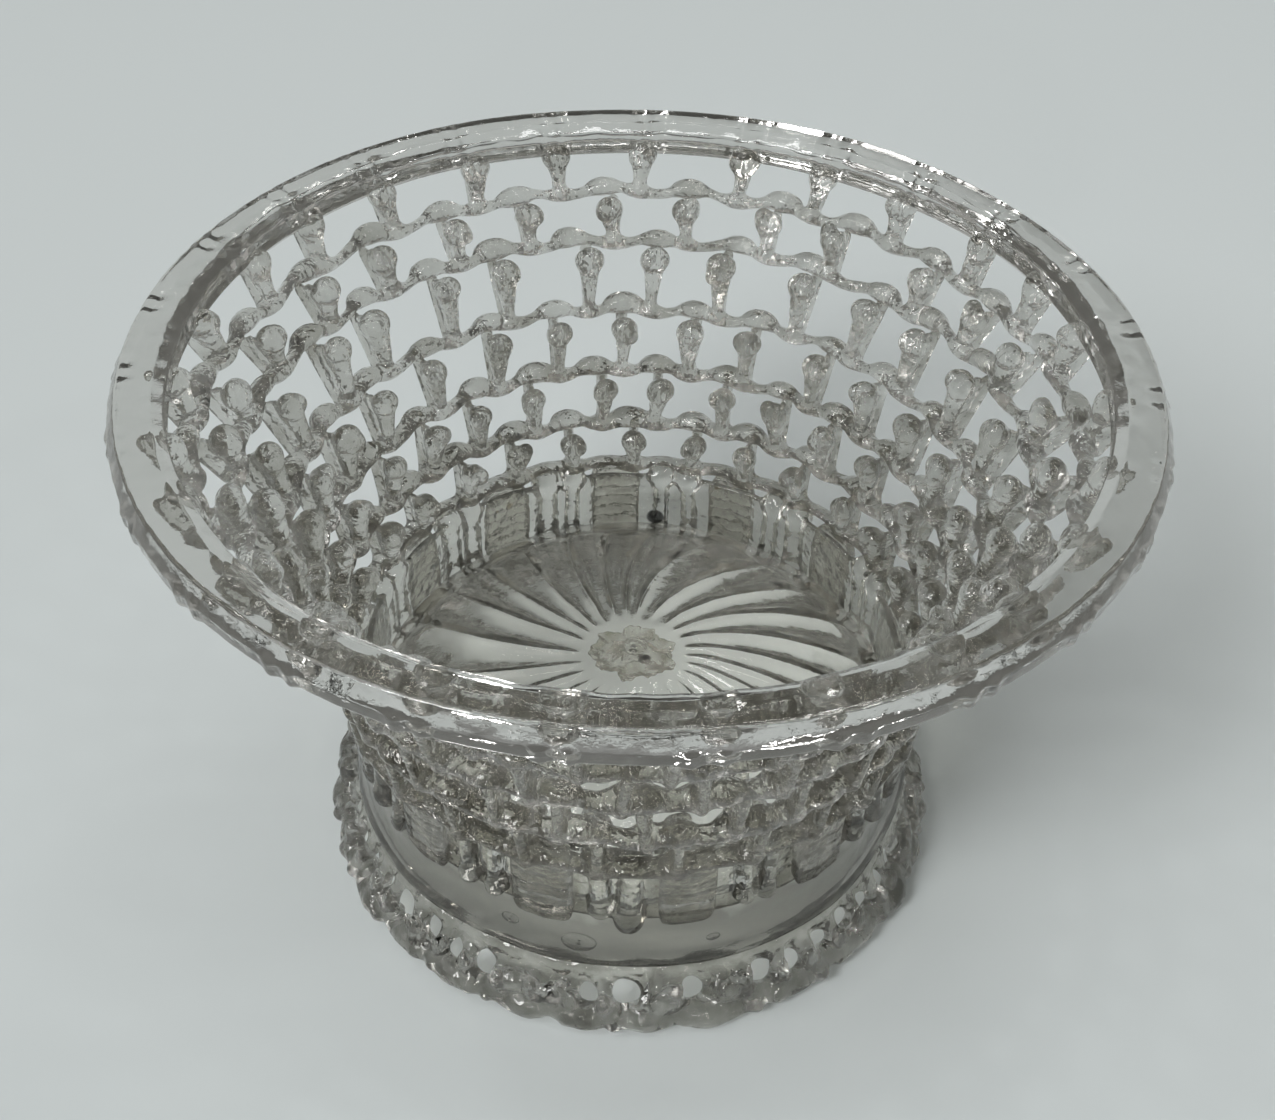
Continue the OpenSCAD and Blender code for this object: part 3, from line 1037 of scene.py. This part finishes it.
def set_light_paths():
    """Glass behind glass needs many bounces before a path reaches the room."""
    cycles = bpy.context.scene.cycles
    cycles.max_bounces = GLASS_BOUNCES
    cycles.transmission_bounces = GLASS_BOUNCES
    cycles.glossy_bounces = 12
    cycles.diffuse_bounces = 3
    bpy.context.scene.view_settings.view_transform = "Standard"


# ----------------------------------------------------------------- make ----

make_camera()
make_world()
make_floor()
make_sun("key", azimuth=228, elevation=40, strength=1.66, angle=20)
make_sun("fill", azimuth=200, elevation=45, strength=0.72, angle=45)
for name, azimuth, elevation, distance, size, power in (
        ("top_lamp", 272, 84, 1.5, (0.90, 0.09), 2.8),
        ("back_lamp", 70, 60, 1.5, (0.25, 0.06), 0.9),
        ("left_lamp", 150, 55, 1.3, (0.07, 0.07), 0.6),
        ("right_lamp", 330, 50, 1.4, (0.07, 0.07), 0.6),
        ("front_lamp", 262, 24, 1.4, (0.06, 0.06), 1.0)):
    make_softbox(name, azimuth, elevation, distance, size, power)
set_light_paths()

clear = glass("clear_glass", (0.84, 0.83, 0.805), (0.80, 0.79, 0.76), (0.0, 0.05),
              ripple=(90, 0.0004), fine=(500, 0.00005), pass_on=0.45)
# The blown base's darkening below its floor is painted shade, where the table beneath lies in shadow
blown = glass("blown_glass", (0.94, 0.93, 0.90), (0.32, 0.31, 0.285), (0.0, 0.03),
              ripple=(90, 0.0004), fine=(500, 0.00005), pass_on=0.95, darken_downwards=(60.0, 0.0320))
airy = glass("bubble_glass", (1.0, 1.0, 1.0), (0.97, 0.97, 0.96), (0.0, 0.02),
             ripple=(90, 0.0001), fine=(500, 0.00002), pass_on=1.0)
drawn = glass("lattice_glass", (0.76, 0.75, 0.72), (0.46, 0.445, 0.40), (0.0, 0.02),
              ripple=(280, 0.0017), fine=(800, 0.00012), streak=(600, 0.0003), pass_on=0.02,
              darken_downwards=(2.0, 0.1), grime=True)
stamped = glass("stamped_glass", (0.83, 0.82, 0.79), (0.63, 0.61, 0.56), (0.02, 0.14),
                ripple=(300, 0.0005), fine=(1200, 0.00015), pass_on=0.4,
                darken_downwards=(4.0, 0.1), grime=True)
dripped = glass("drop_glass", (0.88, 0.87, 0.85), (0.70, 0.69, 0.65), (0.0, 0.04),
                ripple=(200, 0.0012), fine=(600, 0.00008), streak=(500, 0.0003), pass_on=0.4,
                darken_downwards=(4.0, 0.1), grime=True, soot=(0.0046, 0.0575, 0.0352, 0.0020))
crimped = glass("foot_glass", (0.60, 0.59, 0.56), (0.34, 0.33, 0.30), (0.0, 0.01),
                ripple=(170, 0.0022), fine=(800, 0.00010), streak=(500, 0.0003), pass_on=0.3)
broken = glass("pontil_glass", (0.93, 0.92, 0.89), (0.48, 0.46, 0.38), (0.0, 0.08),
               ripple=(350, 0.0007), fine=(1500, 0.0002), pass_on=0.8,
               soot=(0.0026, -0.0016, 0.0415, 0.0014), drift=240.0)

finish_piece(make_rim(), clear)
for i in range(1, 7):
    finish_piece(make_course(i), drawn)
finish_piece(make_prunts(), stamped)
finish_piece(make_drops(), dripped)
finish_piece(make_base(), blown)
finish_piece(make_bubbles(), airy)
finish_piece(make_pontil(), broken)
finish_piece(make_foot(), crimped)
